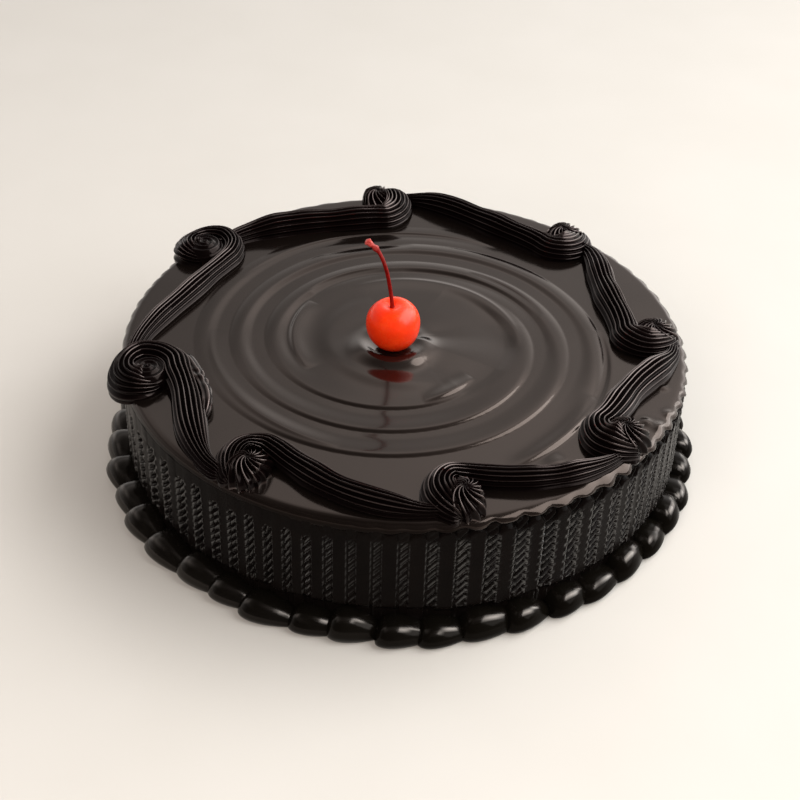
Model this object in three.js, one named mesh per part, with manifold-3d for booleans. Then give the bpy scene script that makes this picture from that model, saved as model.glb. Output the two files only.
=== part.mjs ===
// A round chocolate cake: a glazed body with a combed side and a rippled top, a piped shell border
// round its foot, eight piped scrolls round its edge and a stemmed cherry near the middle.
// Millimetres, +Z up, with the origin in the middle of the underside.
import * as THREE from 'three';
import { mergeVertices } from 'three/addons/utils/BufferGeometryUtils.js';
import Module from 'manifold-3d';

const fullTurn = 2 * Math.PI;
const fullTurnDegrees = 360;
const seatGap = 0.3; // clearance between pieces that touch

// Body
const bodyRadius = 106;
const bodyHeight = 50;
const shoulderRadius = 4;
const shoulderSteps = 2;
const footRadius = 103.5; // plain band behind the shell border
const footHeight = 10;
const combFoot = 12.5;
const ribCount = 76;
const bandShare = 0.56; // part of a rib's width that is flat band, the rest is a groove
const grooveDepth = 1.6;
const lipScallop = 0.5; // part of the groove's depth that still shows on the rounded shoulder
const ribSway = 0.05; // how far the ribs crowd together and spread, as a part of a radian
const ribSwayWaves = 4;
const ribSwayStart = 4.68; // sets where they crowd most, a little left of the front

// Ripples that the palette knife leaves on the top, one inward spiral of two crests a turn
const rippleRadius = 74.5;
const rippleRings = 14;
const rippleSides = 50;
const rippleBase = 0.3; // step at the edge of the rippled disc
const rippleDepth = 0.9;
const rippleSpacing = 13.2;
const crestsPerTurn = 2;
const spiralStart = 86;
const spiralSway = 4.2;
const spiralSwayAngle = 2.62;
const calmRadius = 12; // smooth middle, where the cherry sits
const calmFade = 10;
const edgeFade = 4; // the ripples die out at the step
const discSink = 2;

// Shell border
const shellCount = 44;
const shellStart = 4; // angle in degrees at which the first bulb starts
const shellHeight = 10.5;
const shellWidth = 12.5;
const shellUnder = 0.5; // how far round the section its underside is flat
const shellWaist = 0.35; // how much of a teardrop's taper shows in its width
const shellSectionSides = 7;
const shellStations = [
  { at: 0, size: 0.58 },
  { at: 0.1, size: 0.85 },
  { at: 0.36, size: 1 },
  { at: 0.7, size: 0.84 },
];

// Scrolls, counter-clockwise from the front. Each has its rosette's pivot at an angle in degrees and
// a distance from the middle, its rosette's height, then the distances from the middle at which its
// rope leaves the rosette, is halfway along and ends
const rosettes = [
  { angle: 282, radius: 96.5, height: 8.8, leave: 83, halfway: 93.8, end: 99.8 },
  { angle: 322, radius: 97, height: 8.8, leave: 85, halfway: 87.3, end: 99.5 },
  { angle: 362, radius: 94.5, height: 7.2, leave: 82, halfway: 84.6, end: 96.5 },
  { angle: 408, radius: 97.5, height: 7, leave: 84.3, halfway: 89.3, end: 99.5 },
  { angle: 457, radius: 98, height: 8.2, leave: 82, halfway: 89.3, end: 95.3 },
  { angle: 507, radius: 97.5, height: 9.4, leave: 80, halfway: 86, end: 101 },
  { angle: 557.5, radius: 101, height: 8.8, leave: 85.5, halfway: 92.2, end: 102 },
  { angle: 598, radius: 97, height: 8.8, leave: 83, halfway: 93, end: 99 },
];
const ropeWidth = 11.2;
const ropeHeight = 7.6;
const ropeRidges = 6;
const ridgeDepth = 0.2; // as a part of the section's radius
const ropeSteps = 17;
const ropeWrap = 10.6; // radius of the turn that the rope takes round its rosette
const wrapStart = 2.5; // angle at which that turn starts, from the way the rope runs
const wrapEnd = 1.42 * Math.PI;
const wrapPoints = 5;
const leaveAngle = 0.08; // how far past the pivot the rope leaves its rosette
const runPoints = 6;
const ropeEndGap = 18.1; // from the rope's end to the next rosette's pivot
const ropeStartSize = 0.6;
const ropeStartShare = 0.14;
const ropeEndSize = 0.75;
const ropeEndShare = 0.3;
const domeRadius = 11;
const domeSkirt = 1; // upright foot of the dome
const domeLobes = 10;
const domeLobeDepth = 0.18;
const domeTwist = 0.9; // turn of the lobes from the top of the rosette to its foot
const domeRings = 4;

// Cherry
const cherryRadius = 10;
const cherryX = -4.6;
const cherryY = -6.4;
const cherrySides = 18;
const cherryRings = 8;
const cherryFlat = -1.28; // latitude of the small flat that it sits on
const cherryShoulder = 1.15; // latitude at which the dimple starts
const dimpleRadius = 1.4;
const dimpleHeight = 7.2;
const stemRadius = 0.75;
const stemSides = 8;
const stemSteps = 10;
const stemPath = [
  [-0.4, 0, dimpleHeight + seatGap],
  [-1.2, 0, 14],
  [-3.2, 0, 24.5],
  [-6.2, 0, 31.5],
  [-10.4, 0, 35.8],
];
const stemKnobs = [
  { at: 0.86, radius: 1.3 },
  { at: 0.98, radius: 1.7 },
];
const knobSides = 9;
const knobRings = 6;

// Finishes
const glazeFinish = { color: 0x1c1412, roughness: 0.22, metalness: 0 };
const pipingFinish = { color: 0x1b1211, roughness: 0.28, metalness: 0 };
const cherryFinish = { color: 0xe23a1c, roughness: 0.2, metalness: 0 };
const stemFinish = { color: 0xa8231c, roughness: 0.4, metalness: 0 };

const topHeight = bodyHeight + seatGap; // height at which the scrolls sit
const wasm = await Module();
wasm.setup();

// Angle of a point round the Z axis, from 0 to a full turn
function angleOf({ x, y }) {
  return (Math.atan2(y, x) + fullTurn) % fullTurn;
}

// A smooth rise from 0 to 1
function ease(share) {
  const t = THREE.MathUtils.clamp(share, 0, 1);
  return t * t * (3 - 2 * t);
}

// A smooth course through a first, a middle and a last value
function course(first, middle, last, share) {
  const swing = 2 * (first + last - 2 * middle);
  return first + (last - first) * share - swing * share * (1 - share);
}

// A closed geometry with shared corners and no collapsed triangles
function welded(geometry) {
  geometry.deleteAttribute('normal');
  geometry.deleteAttribute('uv');
  const merged = mergeVertices(geometry);
  const corners = merged.index.array;
  const kept = [];
  for (let i = 0; i < corners.length; i += 3) {
    const [a, b, c] = corners.slice(i, i + 3);
    if (a !== b && b !== c && c !== a) kept.push(a, b, c);
  }
  merged.setIndex(kept);
  return merged;
}

// Moves every corner of a geometry by a rule that changes the point it is given
function reshaped(geometry, rule) {
  const position = geometry.attributes.position;
  const point = new THREE.Vector3();
  for (let i = 0; i < position.count; i += 1) {
    point.fromBufferAttribute(position, i);
    rule(point);
    position.setXYZ(i, point.x, point.y, point.z);
  }
  geometry.computeVertexNormals();
  return geometry;
}

// A turned shape about the Z axis from a profile of [radius, height] listed upwards
function turned(profile, sides) {
  const points = profile.map(([radius, height]) => new THREE.Vector2(radius, height));
  return welded(new THREE.LatheGeometry(points, sides).rotateX(Math.PI / 2));
}

function solidOf(geometry) {
  const vertProperties = new Float32Array(geometry.attributes.position.array);
  const triVerts = new Uint32Array(geometry.index.array);
  return new wasm.Manifold(new wasm.Mesh({ numProp: 3, vertProperties, triVerts }));
}

// One closed geometry out of several that overlap
function joined(...geometries) {
  const mesh = geometries.map(solidOf).reduce((whole, next) => whole.add(next)).getMesh();
  const geometry = new THREE.BufferGeometry();
  geometry.setAttribute('position', new THREE.BufferAttribute(mesh.vertProperties, 3));
  geometry.setIndex(new THREE.BufferAttribute(mesh.triVerts, 1));
  geometry.computeVertexNormals();
  return geometry;
}

// Depth of the grooves at a height: none on the plain foot, and less on the rounded shoulder
function grooveAt(height) {
  if (height < combFoot) return 0;
  const onShoulder = height > bodyHeight - shoulderRadius;
  return onShoulder ? grooveDepth * lipScallop : grooveDepth;
}

// The combed side: flat bands with a V groove between them, crowding and spreading round the cake
function combedBody() {
  const profile = [
    [0, 0],
    [footRadius, 0],
    [footRadius, footHeight],
    [bodyRadius, combFoot],
  ];
  for (let k = 0; k <= shoulderSteps; k += 1) {
    const turn = (k / shoulderSteps) * (Math.PI / 2);
    const inset = shoulderRadius * (1 - Math.cos(turn));
    profile.push([bodyRadius - inset, bodyHeight - shoulderRadius * (1 - Math.sin(turn))]);
  }
  profile.push([0, bodyHeight]);
  const cornerShares = [0, bandShare, (1 + bandShare) / 2]; // a rib's two band edges and its groove
  const ribCorners = cornerShares.length;
  const ribAngle = fullTurn / ribCount;
  return reshaped(turned(profile, ribCount * ribCorners), (point) => {
    const radius = Math.hypot(point.x, point.y);
    const corner = Math.round((angleOf(point) / ribAngle) * ribCorners);
    const place = corner % ribCorners;
    const even = (Math.floor(corner / ribCorners) + cornerShares[place]) * ribAngle;
    const turn = even - ribSway * Math.sin(ribSwayWaves * even - ribSwayStart);
    const groove = place === ribCorners - 1 ? grooveAt(point.z) : 0;
    const combed = Math.max(0, radius - groove);
    point.x = combed * Math.cos(turn);
    point.y = combed * Math.sin(turn);
  });
}

// Height of the ripples above the step of the disc
function rippleHeight(point) {
  const radius = Math.hypot(point.x, point.y);
  const angle = angleOf(point);
  const pitch = rippleSpacing * crestsPerTurn;
  const line = spiralStart - (pitch * angle) / fullTurn + spiralSway * Math.sin(angle - spiralSwayAngle);
  const crest = 0.5 + 0.5 * Math.cos((fullTurn * (radius - line)) / rippleSpacing);
  const calm = ease((radius - calmRadius) / calmFade) * ease((rippleRadius - radius) / edgeFade);
  return rippleDepth * crest * calm;
}

function rippledDisc() {
  const profile = [
    [0, bodyHeight - discSink],
    [rippleRadius, bodyHeight - discSink],
  ];
  for (let k = rippleRings; k >= 0; k -= 1) {
    profile.push([(rippleRadius * k) / rippleRings, bodyHeight + rippleBase]);
  }
  return reshaped(turned(profile, rippleSides), (point) => {
    if (point.z > bodyHeight) point.z += rippleHeight(point);
  });
}

// A ring of teardrops: each swells quickly at its bulb and tapers counter-clockwise to the next
function shellRing() {
  const stations = shellStations.length;
  const inner = footRadius + seatGap;
  const middle = inner + shellWidth / 2;
  const ring = new THREE.TorusGeometry(middle, 1, shellSectionSides, shellCount * stations);
  const stationAngle = fullTurn / (shellCount * stations);
  return reshaped(welded(ring), (point) => {
    const index = Math.round(angleOf(point) / stationAngle);
    const { at, size } = shellStations[index % stations];
    const even = ((Math.floor(index / stations) + at) * fullTurn) / shellCount;
    const turn = even + THREE.MathUtils.degToRad(shellStart);
    const across = Math.hypot(point.x, point.y) - middle;
    const rise = Math.max(0, (point.z + shellUnder) / (1 + shellUnder));
    const width = shellWidth * (1 - shellWaist * (1 - size));
    const radius = inner + ((1 + across) * width) / 2;
    point.set(radius * Math.cos(turn), radius * Math.sin(turn), rise * size * shellHeight);
  });
}

// The rope's way, in a frame where its rosette's pivot lies on +X: a turn round the inner side of
// the rosette, then an S outwards to the next one
function ropeCurve(rosette, next) {
  const points = [];
  for (let k = 0; k < wrapPoints; k += 1) {
    const turn = THREE.MathUtils.lerp(wrapStart, wrapEnd, k / (wrapPoints - 1));
    const outward = rosette.radius + ropeWrap * Math.sin(turn);
    points.push(new THREE.Vector3(outward, ropeWrap * Math.cos(turn), 0));
  }
  const endAngle = THREE.MathUtils.degToRad(next.angle - rosette.angle) - ropeEndGap / rosette.end;
  for (let k = 0; k <= runPoints; k += 1) {
    const share = k / runPoints;
    const radius = course(rosette.leave, rosette.halfway, rosette.end, share);
    const turn = THREE.MathUtils.lerp(leaveAngle, endAngle, share);
    points.push(new THREE.Vector3(radius * Math.cos(turn), radius * Math.sin(turn), 0));
  }
  return new THREE.CatmullRomCurve3(points);
}

// Half-round rope with a flat underside and ridges along it
function ropeSection() {
  const corners = [];
  const count = 2 * ropeRidges;
  for (let k = 0; k <= count; k += 1) {
    const turn = (Math.PI * k) / count;
    const reach = k % 2 === 1 ? 1 : 1 - ridgeDepth;
    const across = (ropeWidth / 2) * reach * Math.cos(turn);
    corners.push(new THREE.Vector2(across, ropeHeight * reach * Math.sin(turn)));
  }
  return new THREE.Shape(corners);
}

function ropeSize(share) {
  const start = ropeStartSize + (1 - ropeStartSize) * ease(share / ropeStartShare);
  const end = ropeEndSize + (1 - ropeEndSize) * ease((1 - share) / ropeEndShare);
  return start * end;
}

// The straight extrusion of the section, bent along the curve and tapered at both ends
function rope(curve) {
  const run = { depth: 1, steps: ropeSteps, bevelEnabled: false };
  const straight = new THREE.ExtrudeGeometry(ropeSection(), run);
  return reshaped(welded(straight), (point) => {
    const share = THREE.MathUtils.clamp(point.z, 0, 1);
    const size = ropeSize(share);
    const middle = curve.getPointAt(share);
    const along = curve.getTangentAt(share);
    const side = point.x * size;
    point.set(middle.x - along.y * side, middle.y + along.x * side, point.y * size);
  });
}

// The rosette's dome, with lobes that swirl from its pivot down to its foot
function rosetteDome(pivotRadius, height) {
  const profile = [
    [0, 0],
    [domeRadius, 0],
  ];
  for (let k = 0; k < domeRings; k += 1) {
    const turn = (Math.PI / 2) * (k / domeRings);
    const rise = domeSkirt + (height - domeSkirt) * Math.sin(turn);
    profile.push([domeRadius * Math.cos(turn), rise]);
  }
  profile.push([0, height]);
  return reshaped(turned(profile, 2 * domeLobes), (point) => {
    const radius = Math.hypot(point.x, point.y);
    const angle = angleOf(point);
    const corner = Math.round((angle * domeLobes) / Math.PI);
    const reach = corner % 2 === 0 ? 1 : 1 - domeLobeDepth;
    const turn = angle + (domeTwist * radius) / domeRadius;
    point.x = pivotRadius + radius * reach * Math.cos(turn);
    point.y = radius * reach * Math.sin(turn);
  });
}

function cherryBall() {
  const profile = [[0, cherryRadius * Math.sin(cherryFlat)]];
  for (let k = 0; k <= cherryRings; k += 1) {
    const latitude = THREE.MathUtils.lerp(cherryFlat, cherryShoulder, k / cherryRings);
    profile.push([cherryRadius * Math.cos(latitude), cherryRadius * Math.sin(latitude)]);
  }
  profile.push([dimpleRadius, dimpleHeight], [0, dimpleHeight]);
  return turned(profile, cherrySides);
}

function cherryStem() {
  const curve = new THREE.CatmullRomCurve3(stemPath.map((place) => new THREE.Vector3(...place)));
  const round = new THREE.Path().absarc(0, 0, stemRadius, 0, fullTurn);
  const section = new THREE.Shape(round.getSpacedPoints(stemSides).slice(0, -1));
  const run = { steps: stemSteps, extrudePath: curve, bevelEnabled: false };
  const tube = new THREE.ExtrudeGeometry(section, run);
  const knobs = stemKnobs.map(({ at, radius }) => {
    const { x, y, z } = curve.getPointAt(at);
    return welded(new THREE.SphereGeometry(radius, knobSides, knobRings).translate(x, y, z));
  });
  return joined(welded(tube), ...knobs);
}

function piece(name, geometry, finish) {
  const mesh = new THREE.Mesh(geometry, new THREE.MeshStandardMaterial(finish));
  mesh.name = name;
  return mesh;
}

const cake = new THREE.Group();
cake.add(piece('cake_body', joined(combedBody(), rippledDisc()), glazeFinish));
cake.add(piece('shell_border', shellRing(), pipingFinish));

rosettes.forEach((rosette, index) => {
  const first = rosettes[0];
  const next = rosettes[index + 1] ?? { angle: first.angle + fullTurnDegrees };
  const dome = rosetteDome(rosette.radius, rosette.height);
  const shape = joined(dome, rope(ropeCurve(rosette, next)));
  const scroll = piece(`scroll_${index + 1}`, shape, pipingFinish);
  scroll.rotation.z = THREE.MathUtils.degToRad(rosette.angle);
  scroll.position.z = topHeight;
  cake.add(scroll);
});

const fruit = new THREE.Group();
fruit.position.set(cherryX, cherryY, topHeight + rippleBase - cherryRadius * Math.sin(cherryFlat));
fruit.add(piece('cherry', cherryBall(), cherryFinish));
fruit.add(piece('cherry_stem', cherryStem(), stemFinish));
cake.add(fruit);

export default cake;
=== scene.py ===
import math
import random

import bmesh
import bpy
import numpy as np
from mathutils import Matrix, Vector


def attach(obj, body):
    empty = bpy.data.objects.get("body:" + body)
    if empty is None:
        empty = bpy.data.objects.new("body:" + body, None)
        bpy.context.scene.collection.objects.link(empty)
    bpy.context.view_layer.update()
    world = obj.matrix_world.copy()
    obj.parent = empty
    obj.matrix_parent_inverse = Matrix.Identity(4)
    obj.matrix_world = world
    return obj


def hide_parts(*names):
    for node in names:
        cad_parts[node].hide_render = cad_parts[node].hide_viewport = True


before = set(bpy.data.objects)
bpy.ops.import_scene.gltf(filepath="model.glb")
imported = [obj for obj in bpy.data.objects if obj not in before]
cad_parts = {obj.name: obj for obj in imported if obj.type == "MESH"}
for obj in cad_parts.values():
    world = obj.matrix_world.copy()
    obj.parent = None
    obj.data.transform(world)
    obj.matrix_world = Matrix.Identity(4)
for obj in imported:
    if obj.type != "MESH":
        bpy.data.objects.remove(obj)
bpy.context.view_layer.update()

mm = 0.001
fullTurn = 2 * math.pi
dice = random.Random(44)  # every uneven thing on the cake draws from here


# small helpers for shapes

def ease(share):  # smooth rise from 0 to 1
    t = np.clip(share, 0, 1)
    return t * t * (3 - 2 * t)


def nearAngle(turn, middle, spread, power=2):  # 1 at an angle in degrees, fading on both sides of it
    away = (np.degrees(turn) - middle + 180) % 360 - 180
    return np.exp(-(away / spread) ** power)


def vertPlaces(mesh):  # x, y and z of every vertex in millimetres
    flat = np.empty(len(mesh.vertices) * 3)
    mesh.vertices.foreach_get("co", flat)
    return (flat.reshape(-1, 3) / mm).T


def vertNormals(mesh):
    flat = np.empty(len(mesh.vertices) * 3)
    mesh.vertices.foreach_get("normal", flat)
    return flat.reshape(-1, 3)


def meshFrom(bm, name):
    mesh = bpy.data.meshes.new(name)
    bm.to_mesh(mesh)
    bm.free()
    return mesh


def movedMesh(mesh, x, y, z):  # puts the vertices at new places, given in millimetres
    mesh.vertices.foreach_set("co", (np.stack([x, y, z], 1) * mm).ravel())
    mesh.update()
    return mesh


def weldedMesh(mesh, gap=0.0005):  # merges doubles, closes holes and turns the faces outwards
    bm = bmesh.new()
    bm.from_mesh(mesh)
    bmesh.ops.remove_doubles(bm, verts=bm.verts[:], dist=gap * mm)
    bmesh.ops.dissolve_degenerate(bm, edges=bm.edges[:], dist=gap * mm)
    rims = [edge for edge in bm.edges if edge.is_boundary]
    if rims:
        bmesh.ops.holes_fill(bm, edges=rims, sides=0)
    bmesh.ops.recalc_face_normals(bm, faces=bm.faces[:])
    if bm.calc_volume(signed=True) < 0:
        bmesh.ops.reverse_faces(bm, faces=bm.faces[:])
    bm.to_mesh(mesh)
    bm.free()
    mesh.update()
    return mesh


def gridMesh(name, across, along):  # flat grid, with both of its shares from 0 to 1 in x and y
    bm = bmesh.new()
    bmesh.ops.create_grid(bm, x_segments=across, y_segments=along, size=0.5)
    bmesh.ops.translate(bm, verts=bm.verts[:], vec=(0.5, 0.5, 0))
    bmesh.ops.scale(bm, verts=bm.verts[:], vec=(mm, mm, mm))
    return meshFrom(bm, name)


def turnedMesh(name, columns, rows):  # grid to be turned about Z, with the column and row of each vertex
    mesh = gridMesh(name, columns, rows - 1)
    u, v, flat = vertPlaces(mesh)
    return mesh, np.round(u * columns).astype(int) % columns, np.round(v * (rows - 1)).astype(int)


def tubeMesh(name, around, along):  # grid to be wrapped along a path, with the shares and row of each vertex
    mesh = gridMesh(name, around, along)
    u, v, flat = vertPlaces(mesh)
    return mesh, u, v, np.round(v * along).astype(int)


def smoothPath(points, count):  # even points on a smooth course through a few, its directions and its length
    finePerKnot = 24
    blends = [[(0, 1), (1, 2), (2, 3)], [(0, 2), (1, 3)], [(1, 2)]]  # neighbours, until one point is left
    knots = np.array([2 * points[0] - points[1]] + list(points) + [2 * points[-1] - points[-2]])
    times = np.concatenate([[0], np.cumsum(np.sqrt(np.linalg.norm(np.diff(knots, axis=0), axis=1)))])
    fine = []
    for k in range(1, len(knots) - 2):
        nearby = times[k - 1:k + 3]
        for t in np.linspace(times[k], times[k + 1], finePerKnot, endpoint=False):
            level = knots[k - 1:k + 3]
            for spans in blends:
                level = [((nearby[b] - t) * level[i] + (t - nearby[a]) * level[i + 1])
                         / (nearby[b] - nearby[a]) for i, (a, b) in enumerate(spans)]
            fine.append(level[0])
    fine.append(knots[-2])
    fine = np.array(fine)
    reach = np.concatenate([[0], np.cumsum(np.linalg.norm(np.diff(fine, axis=0), axis=1))])
    even = np.linspace(0, reach[-1], count)
    path = np.stack([np.interp(even, reach, fine[:, i]) for i in range(fine.shape[1])], 1)
    tangent = np.gradient(path, axis=0)
    tangent /= np.linalg.norm(tangent, axis=1)[:, None]
    return path, tangent, reach[-1]


def newObject(name, data):
    made = bpy.data.objects.new(name, data)
    bpy.context.collection.objects.link(made)
    return made


def unionOf(first, second):  # one closed mesh out of two that overlap
    base = newObject("joinBase", first)
    other = newObject("joinOther", second)
    join = base.modifiers.new("join", "BOOLEAN")
    join.operation = "UNION"
    join.solver = "MANIFOLD"
    join.object = other
    graph = bpy.context.evaluated_depsgraph_get()
    whole = bpy.data.meshes.new_from_object(base.evaluated_get(graph))
    for part in (base, other):
        bpy.data.objects.remove(part)
    return whole


def markPoints(mesh, name, values):  # one number on each vertex, for the material to read
    mesh.attributes.new(name, "FLOAT", "POINT").data.foreach_set("value", values)


def markCrests(mesh, fromCrest, fullCrest, upTo=1000):  # how far each vertex stands out, 1 at fullCrest mm
    fade = 2  # the marks fade out over this height below upTo
    ends = np.empty(len(mesh.edges) * 2, dtype=np.int32)
    mesh.edges.foreach_get("vertices", ends)
    ends = ends.reshape(-1, 2)
    places = vertPlaces(mesh).T
    total = np.zeros((len(places), 3))
    touching = np.zeros(len(places))
    for a, b in ((0, 1), (1, 0)):
        np.add.at(total, ends[:, a], places[ends[:, b]])
        np.add.at(touching, ends[:, a], 1)
    pull = places - total / np.maximum(touching, 1)[:, None]
    proud = (pull * vertNormals(mesh)).sum(1)
    crest = np.clip((proud - fromCrest) / (fullCrest - fromCrest), 0, 1) * ease((upTo - places[:, 2]) / fade)
    markPoints(mesh, "crest", crest)


def placePiece(name, mesh, node, material, sharpAngle=None):
    piece = newObject(name, mesh)
    mesh.name = name
    mesh.materials.clear()
    mesh.materials.append(material)
    mesh.shade_smooth()
    if sharpAngle:
        mesh.set_sharp_from_angle(angle=math.radians(sharpAngle))
    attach(piece, "root")
    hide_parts(node)
    print(name, "has", len(mesh.polygons), "faces")


# materials: pattern sizes are in millimetres

def toLinear(code):  # sRGB hex to linear colour
    shares = [int(code[k:k + 2], 16) / 255 for k in (1, 3, 5)]
    return [s / 12.92 if s <= 0.04045 else ((s + 0.055) / 1.055) ** 2.4 for s in shares] + [1.0]


def setNode(tree, node, settings=None, links=None):
    for key, value in (settings or {}).items():
        if isinstance(key, str) and hasattr(node, key):
            setattr(node, key, value)
        else:
            node.inputs[key].default_value = value
    for key, source in (links or {}).items():
        tree.links.new(source, node.inputs[key])
    return node


def addNode(tree, kind, settings=None, links=None):
    return setNode(tree, tree.nodes.new(kind), settings, links)


def newMaterial(name):  # with its nodes, its shader and the place on the piece
    material = bpy.data.materials.new(name)
    material.use_nodes = True
    tree = material.node_tree
    spot = addNode(tree, "ShaderNodeTexCoord").outputs["Object"]
    return material, tree, tree.nodes["Principled BSDF"], spot


def chocolate(name, look):  # clouded tone and gloss, with another shine at the points marked on a piece, where some pieces also get a paler colour there as a painted highlight
    material, tree, shader, spot = newMaterial(name)
    cloud = addNode(tree, "ShaderNodeTexNoise",
                    {"Scale": 1 / (look["cloud"] * mm), "Detail": look["cloudDetail"]}, {"Vector": spot})
    mark = addNode(tree, "ShaderNodeAttribute", {"attribute_name": look["mark"]})
    # on pieces that ask for it, the marked points take the paler colour instead of the clouding: a painted
    # highlight
    tone = addNode(tree, "ShaderNodeMix",
                   {"data_type": "RGBA", 6: toLinear(look["dark"]), 7: toLinear(look["pale"])},
                   {0: (mark if look["paintedHighlightOnMarks"] else cloud).outputs["Fac"]})
    gloss = addNode(tree, "ShaderNodeMapRange", {"To Min": look["smooth"], "To Max": look["rough"]},
                    {"Value": cloud.outputs["Fac"]})
    shine = addNode(tree, "ShaderNodeMapRange", {"To Min": look["shine"], "To Max": look["markShine"]},
                    {"Value": mark.outputs["Fac"]})
    fine = addNode(tree, "ShaderNodeTexNoise",
                   {"Scale": 1 / (look["fine"] * mm), "Detail": look["fineDetail"]}, {"Vector": spot})
    bump = addNode(tree, "ShaderNodeBump", {"Strength": look["bump"], "Distance": look["fineDepth"] * mm},
                   {"Height": fine.outputs["Fac"]})
    setNode(tree, shader, {"IOR": look["ior"], "Specular Tint": toLinear(look["glint"])},
            {"Base Color": tone.outputs[2], "Roughness": gloss.outputs[0],
             "Specular IOR Level": shine.outputs[0], "Normal": bump.outputs[0]})
    return material


def preservedCherry():  # fruit soaked in syrup: bright orange-red, light soaks in, wet skin with faint pores
    look = {
        "flesh": "#FF4012", "deep": "#E02A0A", "cloud": 7, "deepFrom": 0.35, "deepTo": 0.75,
        "pore": 0.7, "poreDepth": 0.05,  # pores are drawn coarser than real ones, so that they show
        "smooth": 0.22, "rough": 0.34, "soak": 0.35, "soakDepth": 3,
    }
    material, tree, shader, spot = newMaterial("preservedCherry")
    cloud = addNode(tree, "ShaderNodeTexNoise", {"Scale": 1 / (look["cloud"] * mm), "Detail": 3.0},
                    {"Vector": spot})
    share = addNode(tree, "ShaderNodeMapRange", {"From Min": look["deepFrom"], "From Max": look["deepTo"]},
                    {"Value": cloud.outputs["Fac"]})
    tone = addNode(tree, "ShaderNodeMix",
                   {"data_type": "RGBA", 6: toLinear(look["flesh"]), 7: toLinear(look["deep"])},
                   {0: share.outputs[0]})
    pore = addNode(tree, "ShaderNodeTexNoise", {"Scale": 1 / (look["pore"] * mm), "Detail": 2.0},
                   {"Vector": spot})
    bump = addNode(tree, "ShaderNodeBump", {"Strength": 0.2, "Distance": look["poreDepth"] * mm},
                   {"Height": pore.outputs["Fac"]})
    gloss = addNode(tree, "ShaderNodeMapRange", {"To Min": look["smooth"], "To Max": look["rough"]},
                    {"Value": cloud.outputs["Fac"]})
    setNode(tree, shader,
            {"IOR": 1.4, "Subsurface Weight": look["soak"], "Subsurface Radius": (1.0, 0.25, 0.1),
             "Subsurface Scale": look["soakDepth"] * mm},
            {"Base Color": tone.outputs[2], "Roughness": gloss.outputs[0], "Normal": bump.outputs[0]})
    return material


def dyedStalk():  # dyed stalk: dark red, satin, streaked, with a paler torn tip
    look = {
        "red": "#960E08", "deep": "#420503", "tip": "#E06058", "tipFrom": 92, "tipTo": 96,
        "streak": 1.2, "streakDepth": 0.1,  # fibres are drawn coarser than real ones, so that they show
    }
    material, tree, shader, spot = newMaterial("dyedCherryStalk")
    streak = addNode(tree, "ShaderNodeTexNoise", {"Scale": 1 / (look["streak"] * mm), "Detail": 2.0},
                     {"Vector": spot})
    tone = addNode(tree, "ShaderNodeMix",
                   {"data_type": "RGBA", 6: toLinear(look["red"]), 7: toLinear(look["deep"])},
                   {0: streak.outputs["Fac"]})
    height = addNode(tree, "ShaderNodeSeparateXYZ", {}, {"Vector": spot})
    tipShare = addNode(tree, "ShaderNodeMapRange",
                       {"From Min": look["tipFrom"] * mm, "From Max": look["tipTo"] * mm},
                       {"Value": height.outputs["Z"]})
    torn = addNode(tree, "ShaderNodeMath", {"operation": "MULTIPLY"},
                   {0: tipShare.outputs[0], 1: streak.outputs["Fac"]})
    mixed = addNode(tree, "ShaderNodeMix", {"data_type": "RGBA", 7: toLinear(look["tip"])},
                    {0: torn.outputs[0], 6: tone.outputs[2]})
    bump = addNode(tree, "ShaderNodeBump", {"Strength": 0.4, "Distance": look["streakDepth"] * mm},
                   {"Height": streak.outputs["Fac"]})
    setNode(tree, shader, {"Roughness": 0.35, "Specular IOR Level": 0.25},
            {"Base Color": mixed.outputs[2], "Normal": bump.outputs[0]})
    return material


# chocolate glaze poured warm: near black, wet gloss, faint clouding and knife drag, and a duller plain lip
glaze = chocolate("pouredChocolateGlaze", {
    "dark": "#0A0706", "pale": "#110C0A", "paintedHighlightOnMarks": False, "glint": "#FFE5D9", "ior": 1.5,
    "cloud": 26, "cloudDetail": 3.0, "smooth": 0.085, "rough": 0.165,
    "mark": "lip", "shine": 0.5, "markShine": 0.035,
    "fine": 3.2, "fineDetail": 1.0, "fineDepth": 0.03, "bump": 0.25,
})
# the same glaze set under a comb: torn and dull in the grooves, glossy on the ridges
combed = chocolate("combedChocolateGlaze", {
    "dark": "#070505", "pale": "#0F0B09", "paintedHighlightOnMarks": False, "glint": "#FFFFFF", "ior": 1.55,
    "cloud": 9, "cloudDetail": 4.0, "smooth": 0.16, "rough": 0.32,
    "mark": "crest", "shine": 0.02, "markShine": 1.0,
    "fine": 2.4, "fineDetail": 3.0, "fineDepth": 0.12, "bump": 0.35,
})
# chocolate icing pressed through a nozzle: warm black, glossy where it stands out, and painted paler and
# redder there as a painted highlight
piped = {
    "paintedHighlightOnMarks": True, "mark": "crest", "ior": 1.6, "cloud": 14, "cloudDetail": 3.0,
    "fine": 1.6, "fineDetail": 2.0, "fineDepth": 0.06, "bump": 0.3,
}
icing = chocolate("pipedChocolateIcing", {
    **piped, "dark": "#060303", "pale": "#110807", "glint": "#FFE6E0",
    "smooth": 0.1, "rough": 0.2, "shine": 0.05, "markShine": 0.9,
})
# border icing: the marked shoulders get more shine and a faintly paler colour, a painted highlight, and the
# left side a painted sheen
borderIcing = chocolate("borderChocolateIcing", {
    **piped, "dark": "#0A0806", "pale": "#0D0A08", "glint": "#FFF2EA",
    "smooth": 0.13, "rough": 0.23, "shine": 0.02, "markShine": 0.8,
})
print("materials made")


# glazed cake: one cap for the top and its lip, and one combed side under it

ribs = {
    "count": 76, "band": 0.56,  # a band and a groove make one rib
    "sway": 0.05, "swayWaves": 4, "swayStart": 4.68,  # the bands crowd and spread round the cake
}


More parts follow.
